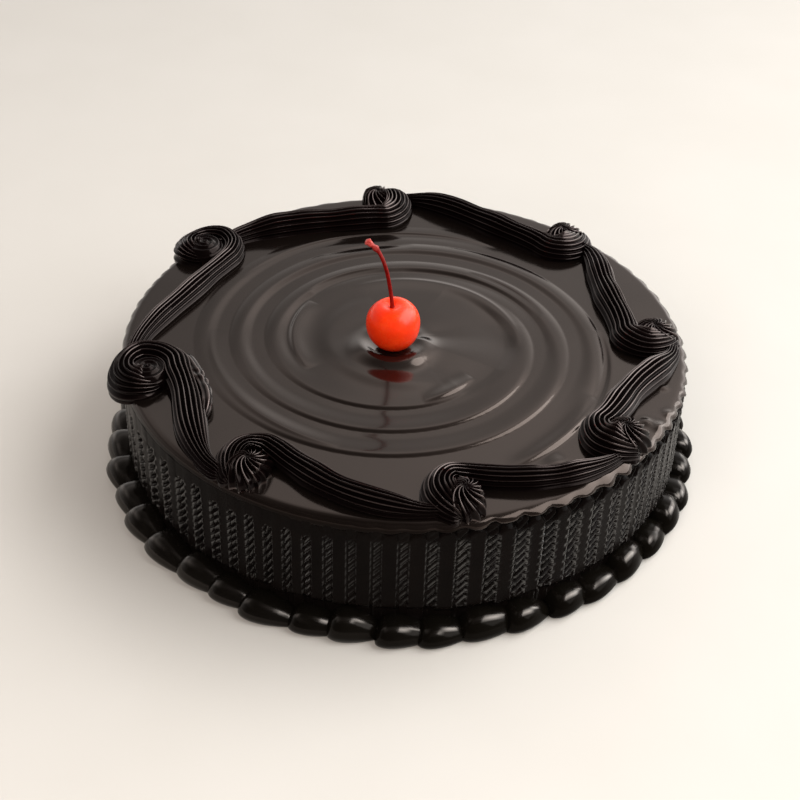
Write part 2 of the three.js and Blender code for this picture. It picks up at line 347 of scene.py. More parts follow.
def ribTurn(even):
    return even - ribs["sway"] * np.sin(ribs["swayWaves"] * even - ribs["swayStart"])


def ribDraws(low, high):  # one random number for each rib
    return np.array([dice.uniform(low, high) for k in range(ribs["count"])])


top = {
    "height": 50, "radius": 106, "shoulder": 3,
    "step": 0.9, "fineFrom": 33, "fineStep": 0.46, "fineTo": 85, "edgeStep": 1.1,  # finest over the rings
    "columnsPerRib": 6, "lipRows": 14,
    "lipBand": 4.2, "lipGroove": 3.0,  # length of the rounded lip over a band and over a groove
    "grooveInset": 0.6, "grooveShape": 0.8, "lipSwell": 0.9, "swellShape": 1.3,
    "dripLength": 0.5, "dripSpread": 0.9,
    "rimIn": 1.4, "rimUp": 0.5, "underIn": 8, "underDrop": 1,  # the cap's closed underside
    # the lip runs smoothly into the side at the front left, and is dull there
    "plainAngle": 225, "plainSpread": 52, "plainLip": 2.4, "plainTuck": 0.35, "tuckShape": 3,
    "dullFrom": 150, "dullRise": 25, "dullTo": 286, "dullFall": 4, "dullBelow": 0.6, "dullDepth": 2,
    "ringSpacing": 13.2, "spiralPitch": 26.4, "spiralStart": 86, "spiralSway": 4.2, "spiralSwayAngle": 2.62,
    "ringsInside": 6, "ringsOutside": 2, "firstRing": 38, "ringGrow": 6, "lastRing": 78, "ringFade": 6,
    "ringDrop": 0.56, "dropWidth": 1.55, "softWidth": 4.6,
    "ringRise": 0.5, "riseWidth": 9, "softRise": 3.8, "riseFrom": 44, "riseGrow": 14, "softBoost": 0.6,
    "steepAngle": 278, "steepSpread": 75,
    "faintAngle": 95, "faintSpread": 75, "faintShare": 0.3,  # the rings are fainter at the back
    "markFade": 0.7, "markRun": 3.5,  # a knife mark climbs slowly from inside and drops off outwards
    "swell": 0.09, "swellLengths": (9.5, 14, 11), "swellStarts": (0.7, 1.3),  # never quite level
    # the ring of glaze that the cherry pushed up, lower behind it
    "collarX": -4.6, "collarY": -6.4, "collarRadius": 12, "collarWidth": 3.8, "collarHeight": 1.9,
    "collarBack": 0.55, "collarTurn": 0.8,
}

# knife marks: from and to angle, from and to radius, height and width
knifeMarks = [
    (280, 316, 40.8, 34.6, 0.75, 1.1),
    (296, 334, 83.6, 77.0, 0.8, 1.1),
    (303, 309, 90.5, 88.3, 0.6, 1.1),
    (180, 252, 72.6, 70.0, 0.55, 1.3),
    (325, 366, 79.5, 74.4, -0.5, 0.9),
    (-5, 122, 42.6, 39.2, 0.35, 1.3),
    (148, 212, 43.5, 41.3, 1.0, 1.1),
    (-2, 92, 53.0, 46.1, -0.3, 1.1),
    (18, 62, 55.2, 52.5, -0.4, 0.9),
    (98, 142, 48.4, 48.0, -0.4, 0.9),
    (88, 122, 65.9, 65.3, -0.3, 0.9),
    (60, 150, 74.6, 74.6, -0.3, 0.9),
    (118, 296, 27.0, 29.5, 0.8, 4.6),
    (-58, 66, 38.5, 35.5, -0.55, 3.2),
]

# lumps of glaze by the edge: angle, radius, height and spread
glazeLumps = [
    (317.3, 104.2, 0.9, 1.5), (324.8, 104.2, 1.0, 2.0), (331.2, 103.6, 1.0, 2.4), (336.1, 104.0, 0.9, 1.9),
    (331.2, 97.9, 0.8, 1.8), (344.4, 97.8, 0.6, 1.4), (307.5, 101.0, 0.6, 2.6), (311.5, 102.0, 0.5, 2.2),
]


def plainShare(turn):
    return nearAngle(turn, top["plainAngle"], top["plainSpread"], 4)


def knifeRelief(angle, radius):
    relief = np.zeros_like(radius)
    degrees = np.degrees(angle)
    for fromAngle, toAngle, fromRadius, toRadius, height, width in knifeMarks:
        share = ((degrees - fromAngle) % 360) / (toAngle - fromAngle)
        line = fromRadius + (toRadius - fromRadius) * share
        fade = np.where(share < 1, np.sin(np.pi * np.clip(share, 0, 1)) ** top["markFade"], 0)
        away = radius - line
        relief += height * fade * np.exp(-(away / np.where(away > 0, width, top["markRun"] * width)) ** 2)
    return relief


def ringRelief(angle, radius):  # the knife's spiral: each ring swells a little, then drops off outwards
    first = (top["spiralStart"] - top["spiralPitch"] * angle / fullTurn
             + top["spiralSway"] * np.sin(angle - top["spiralSwayAngle"]))
    steep = nearAngle(angle, top["steepAngle"], top["steepSpread"], 4)
    strength = 1 - top["faintShare"] * nearAngle(angle, top["faintAngle"], top["faintSpread"], 4)
    width = top["softWidth"] + (top["dropWidth"] - top["softWidth"]) * steep
    riseWidth = top["softRise"] + (top["riseWidth"] - top["softRise"]) * steep
    relief = np.zeros_like(radius)
    for k in range(-top["ringsInside"], top["ringsOutside"] + 1):
        ring = first + k * top["ringSpacing"]
        size = ease((ring - top["firstRing"]) / top["ringGrow"])
        size = size * ease((top["lastRing"] - ring) / top["ringFade"])
        fallen = np.clip((radius - ring) / width, 0, 1) ** 2
        risen = ease((radius - ring) / riseWidth + 1)
        rise = top["ringRise"] * np.maximum(ease((ring - top["riseFrom"]) / top["riseGrow"]), 1 - steep)
        rise = rise * (1 + top["softBoost"] * (1 - steep))
        relief += strength * size * (rise * (risen - 1) + top["ringDrop"] * (1 - fallen))
    return relief


def topRelief(angle, radius):
    relief = ringRelief(angle, radius) + knifeRelief(angle, radius)
    x, y = radius * np.cos(angle), radius * np.sin(angle)
    lengthX, bendY, lengthY = top["swellLengths"]
    bend, start = top["swellStarts"]
    relief += top["swell"] * np.sin(x / lengthX + bend * np.sin(y / bendY)) * np.sin(y / lengthY + start)
    away = np.hypot(x - top["collarX"], y - top["collarY"])
    collar = top["collarHeight"] * np.exp(-((away - top["collarRadius"]) / top["collarWidth"]) ** 2)
    behind = ease(0.5 + top["collarTurn"] * (y - top["collarY"]) / np.maximum(away, 1))
    relief += collar * (1 - top["collarBack"] * behind)
    for degrees, lumpRadius, height, spread in glazeLumps:
        lumpAngle = math.radians(degrees)
        apart = np.hypot(x - lumpRadius * math.cos(lumpAngle), y - lumpRadius * math.sin(lumpAngle))
        relief += height * np.exp(-(apart / spread) ** 2)
    return relief


def glazeTop():
    flatRadius = top["radius"] - top["shoulder"]
    sideHeight = top["height"] - top["shoulder"]
    radii = list(np.arange(0, top["fineFrom"], top["step"]))
    radii += list(np.arange(top["fineFrom"], top["fineTo"], top["fineStep"]))
    radii += list(np.arange(top["fineTo"], flatRadius, top["edgeStep"]))
    topRows, lipRows, underRows = len(radii), top["lipRows"], 3
    columns = ribs["count"] * top["columnsPerRib"]
    mesh, column, row = turnedMesh("glazeTop", columns, topRows + lipRows + underRows)
    turn = ribTurn(column / columns * fullTurn)
    radius = np.array(radii + [flatRadius] * (lipRows + underRows))[row]
    rib = column // top["columnsPerRib"]
    place = column / top["columnsPerRib"] - rib  # the band comes first, then the groove
    grooveShare = np.clip((place - ribs["band"]) / (1 - ribs["band"]), 0, 1)
    inGroove = np.sin(np.pi * grooveShare) ** top["grooveShape"]
    inBand = np.where(place <= ribs["band"], np.sin(np.pi * place / ribs["band"]), 0)
    drips = ribDraws(-1, 1) * top["dripSpread"]
    rises = ribDraws(-0.2, 1)  # most grooves cut the lip short
    swells = ribDraws(0.1, 1) * top["lipSwell"]
    ragged = 1 - plainShare(turn)
    lipEnd = top["lipBand"] + ragged * ((top["dripLength"] + drips[rib]) * inBand - top["dripLength"])
    lipEnd = lipEnd + top["plainLip"] * (1 - ragged)
    lipEnd -= ragged * rises[rib] * (top["lipBand"] - top["lipGroove"]) * inGroove
    onLip = row >= topRows
    under = row - topRows - lipRows  # 0 for the rim behind the lip, then two rows to the axis
    along = np.clip((row - topRows + 1) / lipRows, 0, 1)
    run = along * lipEnd
    bend = np.clip(run / top["shoulder"], 0, math.pi / 2)
    lipRadius = flatRadius + top["shoulder"] * np.sin(bend)
    lipHeight = sideHeight + top["shoulder"] * np.cos(bend)
    lipHeight = lipHeight - np.maximum(0, run - top["shoulder"] * math.pi / 2)
    lipRadius += along ** top["swellShape"] * ragged * (swells[rib] * inBand - top["grooveInset"] * inGroove)
    lipRadius -= along ** top["tuckShape"] * top["plainTuck"] * (1 - ragged)
    lipHeight += (1 - along) ** 2 * topRelief(turn, np.full_like(turn, flatRadius))
    newRadius = np.where(onLip, lipRadius, radius)
    newHeight = np.where(onLip, lipHeight, top["height"] + topRelief(turn, radius))
    newRadius = np.where(under == 0, lipRadius - top["rimIn"], newRadius)
    newHeight = np.where(under == 0, lipHeight + top["rimUp"], newHeight)
    newRadius = np.where(under == 1, flatRadius - top["underIn"], np.where(under == 2, 0, newRadius))
    newHeight = np.where(under > 0, sideHeight - top["underDrop"], newHeight)
    movedMesh(mesh, newRadius * np.cos(turn), newRadius * np.sin(turn), newHeight)
    weldedMesh(mesh)
    x, y, z = vertPlaces(mesh)
    degrees = np.degrees(np.arctan2(y, x)) % 360
    dull = ease((degrees - top["dullFrom"]) / top["dullRise"])
    dull = dull * ease((top["dullTo"] - degrees) / top["dullFall"])
    markPoints(mesh, "lip", ease((top["height"] - top["dullBelow"] - z) / top["dullDepth"]) * dull)
    return mesh


placePiece("glazeTop", glazeTop(), "cake_body", glaze)


side = {
    "radius": 105.9, "footRadius": 104.4, "combFoot": 12.2, "footFade": 2.2, "combTop": 47.6, "lidIn": 4,
    "footHeight": 10, "footStep": 3.0, "edgeStep": 0.7, "fineFrom": 13, "fineStep": 0.52,  # row heights
    "bandPlaces": np.array([0, 0.05, 0.12, 0.3, 0.7, 0.88, 0.95]), "grooveColumns": 9,
    # the comb leaves a raised edge on both sides of a band, and its teeth bite into it
    "burr": 0.24, "burrLoss": 0.85, "biteDepth": 0.6,
    "edgePlaces": [0, 0.1, 0.24, 0.6], "burrShape": [0.2, 1, 0.3, 0], "biteShape": [1, 0.35, 0, 0],
    "grooveDepth": 0.35, "wallShare": 0.1, "gutterDepth": 0.8, "gutterPlace": 0.16, "gutterShare": 0.13,
    "slotDepth": 1.7, "slotPitch": 3.5, "slotSlant": 1.15, "slotShare": 0.25, "slotEdge": 0.9,
    "slotFoot": 3, "slotTop": 1.5, "wander": 0.25, "wanderLength": 7.3, "wanderStart": 9,
    "archTop": 46.0, "archDrop": 2.2, "archDepth": 2.2, "archRise": 1.2,
    "faintAngle": 266, "faintSpread": 24, "faintShare": 0.78,  # the teeth hardly mark the front
    # the comb starts lower where the lip is plain
    "plainDrop": 6.5, "plainSpread": 2, "plainFade": 3.5, "plainTuck": 0.6, "tuckHeight": 1.2,
    "fromCrest": 0.035, "fullCrest": 0.1, "crestDrop": 3,
}


def toothMarks(z, start, slant):  # 1 in the slots that the teeth leave, and their pitch wanders a little
    wander = side["wander"] * np.sin(z / side["wanderLength"] + side["wanderStart"] * start)
    phase = (z - slant) / side["slotPitch"] + start + wander
    return ease((np.cos(fullTurn * phase) + side["slotShare"]) / side["slotEdge"])


def teethShown(turn):
    return 1 - side["faintShare"] * nearAngle(turn, side["faintAngle"], side["faintSpread"])


def combedSide():
    bandColumns = len(side["bandPlaces"])
    columnsPerRib = bandColumns + side["grooveColumns"]
    columns = ribs["count"] * columnsPerRib
    heights = list(np.arange(0, side["footHeight"], side["footStep"]))
    heights += list(np.arange(side["footHeight"], side["fineFrom"], side["edgeStep"]))
    heights += list(np.arange(side["fineFrom"], side["combTop"], side["fineStep"]))
    last = len(heights) + 2
    mesh, column, row = turnedMesh("combedSide", columns, last + 1)
    z = np.array([0] + heights + [side["combTop"], side["combTop"]])[row]
    rib = column // columnsPerRib
    step = column - rib * columnsPerRib
    bandShare = np.append(side["bandPlaces"], 1)[np.minimum(step, bandColumns)]
    grooveShare = np.clip((step - bandColumns) / side["grooveColumns"], 0, 1)
    place = bandShare * ribs["band"] + grooveShare * (1 - ribs["band"])
    turn = ribTurn((rib + place) / ribs["count"] * fullTurn)
    starts = ribDraws(0, 1)
    strengths = ribDraws(0.75, 1.1)
    slants = ribDraws(0.8, 1.2) * side["slotSlant"]
    bandLift = ribDraws(-0.2, 0.2)
    archLift = ribDraws(-0.7, 0.7)
    footLift = ribDraws(-0.9, 1.1)
    plain = plainShare(turn)
    combEnd = side["combTop"] - (side["plainDrop"] + side["plainSpread"] * archLift[rib]) * plain
    reached = 1 - plain * (1 - ease((combEnd - z) / side["plainFade"]))
    strength = strengths[rib] * teethShown(turn)
    # the grooves, with the slots of the teeth across them
    inGroove = step > bandColumns
    wall = np.where(inGroove, ease(np.minimum(grooveShare, 1 - grooveShare) / side["wallShare"]), 0)
    grooveWidth = (1 - ribs["band"]) * fullTurn / ribs["count"] * side["radius"]
    slot = toothMarks(z, starts[rib], slants[rib] * grooveShare * grooveWidth)
    fadeEnds = ease((z - side["combFoot"]) / side["slotFoot"]) * ease((side["combTop"] - z) / side["slotTop"])
    depth = wall * reached * (side["grooveDepth"] + side["slotDepth"] * slot * strength * fadeEnds)
    gutter = side["gutterDepth"] * np.exp(-((grooveShare - side["gutterPlace"]) / side["gutterShare"]) ** 2)
    # the bands, each with an arched top, raised edges and the bites in them
    across = (bandShare - 0.5) * 2
    archHeight = side["archTop"] + archLift[rib] - side["archDrop"] * across ** 2
    arch = side["archDepth"] * ease((z - archHeight + side["archRise"] / 2) / side["archRise"]) * (1 - plain)
    depth = np.where(inGroove, np.maximum(depth, wall * gutter * reached), depth + arch)
    before = (rib - 1) % ribs["count"]
    edgeRib = np.where(across > 0, rib, before)
    edgeSlant = np.where(across > 0, 0, slants[before] * grooveWidth)
    bite = toothMarks(z, starts[edgeRib], edgeSlant) * strength * fadeEnds * reached
    fromEdge = 1 - np.abs(across)
    burr = side["burr"] * np.interp(fromEdge, side["edgePlaces"], side["burrShape"]) * reached * strength
    notch = side["biteDepth"] * bite * np.interp(fromEdge, side["edgePlaces"], side["biteShape"])
    edges = bandLift[rib] * (1 - across ** 2) - burr * (1 - side["burrLoss"] * bite) + notch
    depth += np.where(inGroove, 0, edges)
    newRadius = side["radius"] - depth
    tuckShare = ease((z - side["combTop"] + side["tuckHeight"]) / side["tuckHeight"])
    newRadius -= side["plainTuck"] * plain * tuckShare
    footShare = ease((side["combFoot"] + footLift[rib] - z) / side["footFade"])
    newRadius -= (side["radius"] - side["footRadius"]) * footShare
    newRadius = np.where(row == last - 1, side["footRadius"] - side["lidIn"], newRadius)
    newRadius = np.where((row == 0) | (row == last), 0, newRadius)
    movedMesh(mesh, newRadius * np.cos(turn), newRadius * np.sin(turn), z)
    weldedMesh(mesh)
    x, y, z = vertPlaces(mesh)
    fullCrest = side["fullCrest"] / teethShown(np.arctan2(y, x))
    markCrests(mesh, side["fromCrest"], fullCrest, side["archTop"] - side["crestDrop"])
    return mesh


placePiece("combedSide", combedSide(), "cake_body", combed)
print("cake body made")


# shell border: piped teardrops, each with its tail under the next one's bulb

shell = {
    "count": 44, "startAngle": 4, "length": 1.75, "middle": 109.9, "halfWidth": 6.6, "height": 9.6,
    "belly": 0.42, "tailIn": 2.2, "roundness": 2.7, "leanIn": 1.7,
    "around": 32, "along": 40, "sharpAngle": 50,
    "fullness": 2.43, "swell": 0.42, "taper": 1.2,  # quick swell, long taper
    "lengthSpread": 0.13, "heightSpread": 0.15, "shiftSpread": 0.8, "angleSpread": 0.1, "leanSpread": 0.5,
    "highlightFrom": 0.79, "highlightTo": 0.91, "highlightFade": 0.05,  # painted highlight: only the shoulders shine and are painted paler, chosen by how far they face upwards
    "tuckAngle": 300, "tuckSpread": 75, "tuck": 2.0,  # pressed closer to the cake at the front
    "sheenAngle": 205, "sheenSpread": 48, "paintedSheen": 0.34,  # paler and shinier on the left: painted sheen
}


def oneShell(bm, index):
    pitch = fullTurn / shell["count"]
    start = math.radians(shell["startAngle"]) + pitch * (index + dice.uniform(-1, 1) * shell["angleSpread"])
    length = pitch * shell["length"] * (1 + dice.uniform(-1, 1) * shell["lengthSpread"])
    height = shell["height"] * (1 + dice.uniform(-1, 1) * shell["heightSpread"])
    shift = dice.uniform(-1, 1) * shell["shiftSpread"]
    lean = dice.uniform(-1, 1) * shell["leanSpread"]
    shift -= shell["tuck"] * nearAngle(start, shell["tuckAngle"], shell["tuckSpread"])
    ball = bmesh.ops.create_uvsphere(bm, u_segments=shell["around"], v_segments=shell["along"], radius=1)
    for vert in ball["verts"]:
        x, y, z = vert.co
        along = math.acos(max(-1, min(1, z))) / math.pi
        around = math.atan2(y, x)
        size = shell["fullness"] * along ** shell["swell"] * (1 - along) ** shell["taper"]
        turn = start + length * along
        reach = shell["middle"] + shift - shell["tailIn"] * along
        reach += shell["halfWidth"] * size * math.cos(around)
        peak = math.sin(around)
        if around > 0:  # flat on top, with a tight shoulder
            peak = (1 - abs(math.cos(around)) ** shell["roundness"]) ** (1 / shell["roundness"])
        rise = height * size * (shell["belly"] + (1 - shell["belly"]) * peak)
        reach += lean * size * math.sin(around) - shell["leanIn"] * size * max(0, peak)
        vert.co = (reach * math.cos(turn) * mm, reach * math.sin(turn) * mm, max(0, rise) * mm)


def shellBorder():
    halves = []
    for offset in (0, 1):  # every second shell, so that those of one half don't touch
        bm = bmesh.new()
        for index in range(offset, shell["count"], 2):
            oneShell(bm, index)
        bmesh.ops.recalc_face_normals(bm, faces=bm.faces[:])
        halves.append(meshFrom(bm, "shellHalf"))
    mesh = unionOf(*halves)
    # painted highlight on a band of upward-facing shoulders, and painted sheen on the left, both stored as
    # the crest mark
    upward = vertNormals(mesh)[:, 2]
    shoulderHighlight = ease((upward - shell["highlightFrom"]) / shell["highlightFade"])
    shoulderHighlight = shoulderHighlight * ease((shell["highlightTo"] - upward) / shell["highlightFade"])
    x, y, z = vertPlaces(mesh)
    pale = shell["paintedSheen"] * nearAngle(np.arctan2(y, x), shell["sheenAngle"], shell["sheenSpread"])
    markPoints(mesh, "crest", np.maximum(shoulderHighlight, pale))
    return mesh


placePiece("shellBorder", shellBorder(), "shell_border", borderIcing, shell["sharpAngle"])
print("shell border made")


# scrolls: a ridged rosette and the rope that runs on from it to the next one

rosetteParts = ("angle", "radius", "height", "leave", "halfway", "end", "run", "curl")
rosettes = [dict(zip(rosetteParts, row)) for row in [  # leave to end is the rope's reach, and run its size
    (282, 96.5, 8.8, 83, 93.8, 99.8, 0.78, False),
    (322, 97, 8.8, 85, 87.3, 99.5, 0.95, False),
    (362, 94.5, 7.2, 82, 84.6, 96.5, 0.95, False),
    (408, 97.5, 7, 84.3, 89.3, 99.5, 0.95, False),
    (457, 98, 8.2, 82.5, 88, 95.3, 0.95, False),
    (507, 97.5, 9.4, 84.5, 89.5, 101.5, 0.78, True),
    (559.5, 97.4, 8.8, 85.5, 92.2, 102, 1.0, True),
    (598, 97, 8.8, 83, 93, 99, 0.88, False),
]]
ridge = {  # places across one ridge with its crest in the middle, and how far each lies down its flank
    "places": np.array([-0.5, -0.32, -0.14, -0.04, 0.04, 0.14, 0.32]),
    "fallen": np.array([1, 0.78, 0.3, 0, 0, 0.3, 0.78]),
}
scroll = {
    "sink": 0.4, "ropeWidth": 11.8, "ropeHeight": 7.9, "along": 150, "sharpAngle": 85,
    "ridges": 19, "ridgeDepth": 1.2, "flatBelow": 0.35, "flatFade": 0.4,  # the underside has no ridges
    "startTip": 2.4, "turnLength": 11, "turnFade": 28,  # how far its shape round the pivot goes
    "runPoints": 9, "leaveAngle": 0.045, "leaveOut": 1.5,
    "endGap": 5.5, "endFrom": 0.72, "endSize": 0.5, "endTip": 4,
    "rollSpread": 0.3, "roll": 0.2, "rollWaves": 2.4,  # the nozzle turns a little
    "lumps": [(0.035, 21), (0.02, 37)],  # and presses unevenly: size and waves
    "under": 0.6, "hang": 1.4, "hangFrom": 102, "hangFade": 5,  # rounder below where it overhangs
    "droopFrom": 101, "droop": 0.022,  # it sags over the edge
    # duller low down and over the edge, where the painted crest highlight fades too
    "fullCrest": 0.11, "dullFrom": 105.5, "dullWidth": 3,
    "dullHeight": 1.6, "dullRise": 2.4, "lowShare": 0.25, "leastShown": 0.1,
}
hook = {  # how most ropes start, from a cut end round the pivot: outwards and onwards from it
    "course": [(7.4, -1.0), (6.0, -2.9), (4.0, -4.8), (1.4, -6.4),
               (-1.8, -7.3), (-5.2, -6.9), (-8.4, -4.8), (-10.8, -1.0)],
    "height": 1, "shape": 2.0, "startSize": 0.62, "startLength": 11,
}
curl = {  # how the others start, from forwards, outwards and back to inwards
    "from": -0.45 * math.pi, "to": 1.4 * math.pi, "points": 10,
    "shares": [0, 0.19, 0.51, 0.78, 1], "reach": [4.2, 5.4, 8.3, 12.4, 11.0],
    "height": 0.8, "shape": 3.2, "startSize": 0.3, "startLength": 14,
}
dome = {  # the ridged middle of a hook
    "radius": 9.2, "height": 8.6, "outward": 0.3, "onward": 1.2, "endFace": 6.2, "flatten": 0.55,
    "lobes": 14, "lobeDepth": 1.5, "lobeFade": 2.2, "twist": 1.5, "twistShape": 0.8, "twistSpread": 0.3,
    "rings": 34, "dimple": 1.0, "dimpleRadius": 1.3, "foot": -0.5,
}
coil = {  # the flat spiral in the middle of a curl
    "radius": 8.2, "height": 6.6, "flatness": 4, "shape": 0.4, "pitch": 2.3, "depth": 0.7, "rim": 0.1,
    "around": 120, "rings": 60,
}


def ropePath(rosette, nextAngle):  # points of outward and onward: round the pivot, then the run
    points = []
    if rosette["curl"]:
        for k in range(curl["points"]):
            share = k / (curl["points"] - 1)
            turn = curl["from"] + (curl["to"] - curl["from"]) * share
            reach = np.interp(share, curl["shares"], curl["reach"])
            points.append(np.array([rosette["radius"] + reach * math.sin(turn), reach * math.cos(turn)]))
    else:
        inward = (rosette["radius"] - rosette["leave"] - scroll["leaveOut"]) / -hook["course"][-1][0]
        for outward, onward in hook["course"]:
            points.append(np.array([rosette["radius"] + outward * (inward if outward < 0 else 1), onward]))
    endAngle = math.radians(nextAngle - rosette["angle"]) - scroll["endGap"] / rosette["end"]
    climb = rosette["end"] - rosette["leave"]
    lateness = math.log2(climb / (rosette["halfway"] - rosette["leave"]))
    for k in range(scroll["runPoints"]):
        share = k / (scroll["runPoints"] - 1)
        reach = rosette["leave"] + scroll["leaveOut"] + climb * ease(share) ** lateness
        turn = scroll["leaveAngle"] + (endAngle - scroll["leaveAngle"]) * share
        points.append(np.array([reach * math.cos(turn), reach * math.sin(turn)]))
    return points


def roundEnd(share):  # a quarter circle, from a closed end at 0 to full size at 1
    return np.sqrt(np.clip(1 - (1 - np.clip(share, 0, 1)) ** 2, 0, 1))


def ropeMesh(rosette, nextAngle):
    begin = curl if rosette["curl"] else hook
    perRidge = len(ridge["places"])
    around = scroll["ridges"] * perRidge
    path, tangent, length = smoothPath(ropePath(rosette, nextAngle), scroll["along"] + 1)
    mesh, u, v, row = tubeMesh("rope", around, scroll["along"])
    column = np.round(u * around).astype(int) % around
    along = v * length
    valley = ridge["fallen"][column % perRidge]
    roll = dice.uniform(0, scroll["rollSpread"])
    roll = roll + scroll["roll"] * np.sin(v * scroll["rollWaves"] + dice.uniform(0, 3))
    bend = (column // perRidge + ridge["places"][column % perRidge]) / scroll["ridges"] * fullTurn + roll
    ridged = ease((np.sin(bend) + scroll["flatBelow"]) / scroll["flatFade"])
    reach = 1 - 2 * scroll["ridgeDepth"] / scroll["ropeWidth"] * valley * ridged
    atPivot = 1 - ease((along - scroll["turnLength"]) / scroll["turnFade"])
    run = rosette["run"] + (1 - rosette["run"]) * atPivot
    run *= 1 + (scroll["endSize"] - 1) * ease((v - scroll["endFrom"]) / (1 - scroll["endFrom"]))
    ends = roundEnd(along / scroll["startTip"]) * roundEnd((length - along) / scroll["endTip"])
    lump = 1
    for lumpSize, waves in scroll["lumps"]:
        lump = lump + lumpSize * np.sin(v * waves + dice.uniform(0, 6))
    start = begin["startSize"] + (1 - begin["startSize"]) * ease(along / begin["startLength"])
    size = run * ends * lump * start
    across = scroll["ropeWidth"] / 2 * reach * np.cos(bend) * size
    x = path[row, 0] - tangent[row, 1] * across
    y = path[row, 1] + tangent[row, 0] * across
    lean = (1 - ((1 + np.cos(bend)) / 2) ** begin["shape"]) ** (1 / begin["shape"])  # highest by the pivot
    section = np.sin(bend)
    section = np.where(section > 0, section + (lean - section) * atPivot, section)
    startRise = rosette["height"] / scroll["ropeHeight"] * begin["height"]
    rise = scroll["ropeHeight"] * (1 + (startRise - 1) * atPivot) * reach * section * size
    hang = scroll["under"] + scroll["hang"] * ease((np.hypot(x, y) - scroll["hangFrom"]) / scroll["hangFade"])
    movedMesh(mesh, x, y, np.maximum(rise, -hang * ends))
    return weldedMesh(mesh, 0.00002)  # a wider gap would merge the thin ridges at its ends


def domeMesh(rosette):
    height = dome["height"] + rosette["height"] - rosettes[0]["height"]
    perLobe = len(ridge["places"])
    columns = dome["lobes"] * perLobe
    mesh, column, row = turnedMesh("dome", columns, dome["rings"] + 2)
    ring = np.clip((row - 1) / dome["rings"], 0, 1)  # 0 at the foot, 1 at the pivot
    reach = np.cos(ring * math.pi / 2)
    cut = dome["lobeDepth"] * ridge["fallen"][column % perLobe] * np.clip(reach * dome["lobeFade"], 0, 1)
    radius = (dome["radius"] - cut) * reach
    rise = (height - cut) * np.sin(ring * math.pi / 2)
    rise -= dome["dimple"] * np.exp(-(radius / dome["dimpleRadius"]) ** 2)
    radius = np.where(row == 0, 0, radius)
    rise = np.where(row < 2, dome["foot"], rise)
    turn = (column // perLobe + ridge["places"][column % perLobe]) / dome["lobes"] * fullTurn
    turn = turn + dice.uniform(0, dome["twistSpread"]) + dome["twist"] * reach ** dome["twistShape"]
    x = rosette["radius"] + dome["outward"] + radius * np.cos(turn)
    y = dome["onward"] + radius * np.sin(turn)
    y = y - dome["flatten"] * np.maximum(0, y - dome["endFace"])  # flatter on the onward side
    movedMesh(mesh, x, y, rise)
    return weldedMesh(mesh)


def coilMesh(rosette):
    mesh, column, row = turnedMesh("coil", coil["around"], coil["rings"] + 2)
    ring = np.clip((row - 1) / coil["rings"], 0, 1)  # 0 at the rim, 1 at the pivot
    turn = column / coil["around"] * fullTurn
    radius = coil["radius"] * (1 - ring)
    winding = np.abs((radius / coil["pitch"] + turn / fullTurn) % 1 - 0.5) * 2  # 1 on the crest of the spiral
    rise = coil["height"] * np.clip(1 - (1 - ring) ** coil["flatness"], 0, 1) ** coil["shape"]
    rise -= coil["depth"] * (1 - winding) * np.clip(radius, 0, 1) * ease(ring / coil["rim"])
    radius = np.where(row == 0, 0, radius)
    rise = np.where(row < 2, dome["foot"], rise)
    movedMesh(mesh, rosette["radius"] + radius * np.cos(turn), radius * np.sin(turn), rise)
    return weldedMesh(mesh)


fold = {  # a slack strand along the seventh rope: reach and angle of its course, then its size
    "course": [(83.4, 193), (81.6, 199), (81.2, 205), (82, 210), (84.2, 214.5), (88.6, 218.5)], "scroll": 6,
    "radius": 2.7, "around": 40, "along": 110, "height": 2.2, "under": 0.3, "endShape": 6,
    "bubbles": 0.1, "bubbleWaves": 27, "bubbleBend": 2.5, "bendWaves": 11,
    "bubbleFrom": 0.25, "bubbleTo": 0.95, "bubbleFade": 0.2,
    "ridges": 8, "ridgeDepth": 0.09, "ridgeTwist": 5,
}


def foldMesh():
    start = rosettes[fold["scroll"]]["angle"]
    points = []
    for reach, angle in fold["course"]:
        turn = math.radians(angle - start)
        points.append(np.array([reach * math.cos(turn), reach * math.sin(turn)]))
    path, tangent, length = smoothPath(points, fold["along"] + 1)
    mesh, u, v, row = tubeMesh("fold", fold["around"], fold["along"])
    turn = u * fullTurn
    bubbles = np.sin(v * fold["bubbleWaves"] + fold["bubbleBend"] * np.sin(v * fold["bendWaves"] + turn))
    bubbles = bubbles * ease((v - fold["bubbleFrom"]) / fold["bubbleFade"])
    bubbles = bubbles * ease((fold["bubbleTo"] - v) / fold["bubbleFade"])
    ridges = fold["ridgeDepth"] * np.cos(fold["ridges"] * turn + fold["ridgeTwist"] * v)
    ends = np.sqrt(np.clip(1 - (2 * v - 1) ** fold["endShape"], 0, 1))
    radius = fold["radius"] * (1 + fold["bubbles"] * bubbles + ridges)
    radius = radius * ends
    across = radius * np.cos(turn)
    rise = np.maximum(fold["height"] * ends + radius * np.sin(turn), -fold["under"])
    movedMesh(mesh, path[row, 0] - tangent[row, 1] * across, path[row, 1] + tangent[row, 0] * across, rise)
    return weldedMesh(mesh, 0.00002)


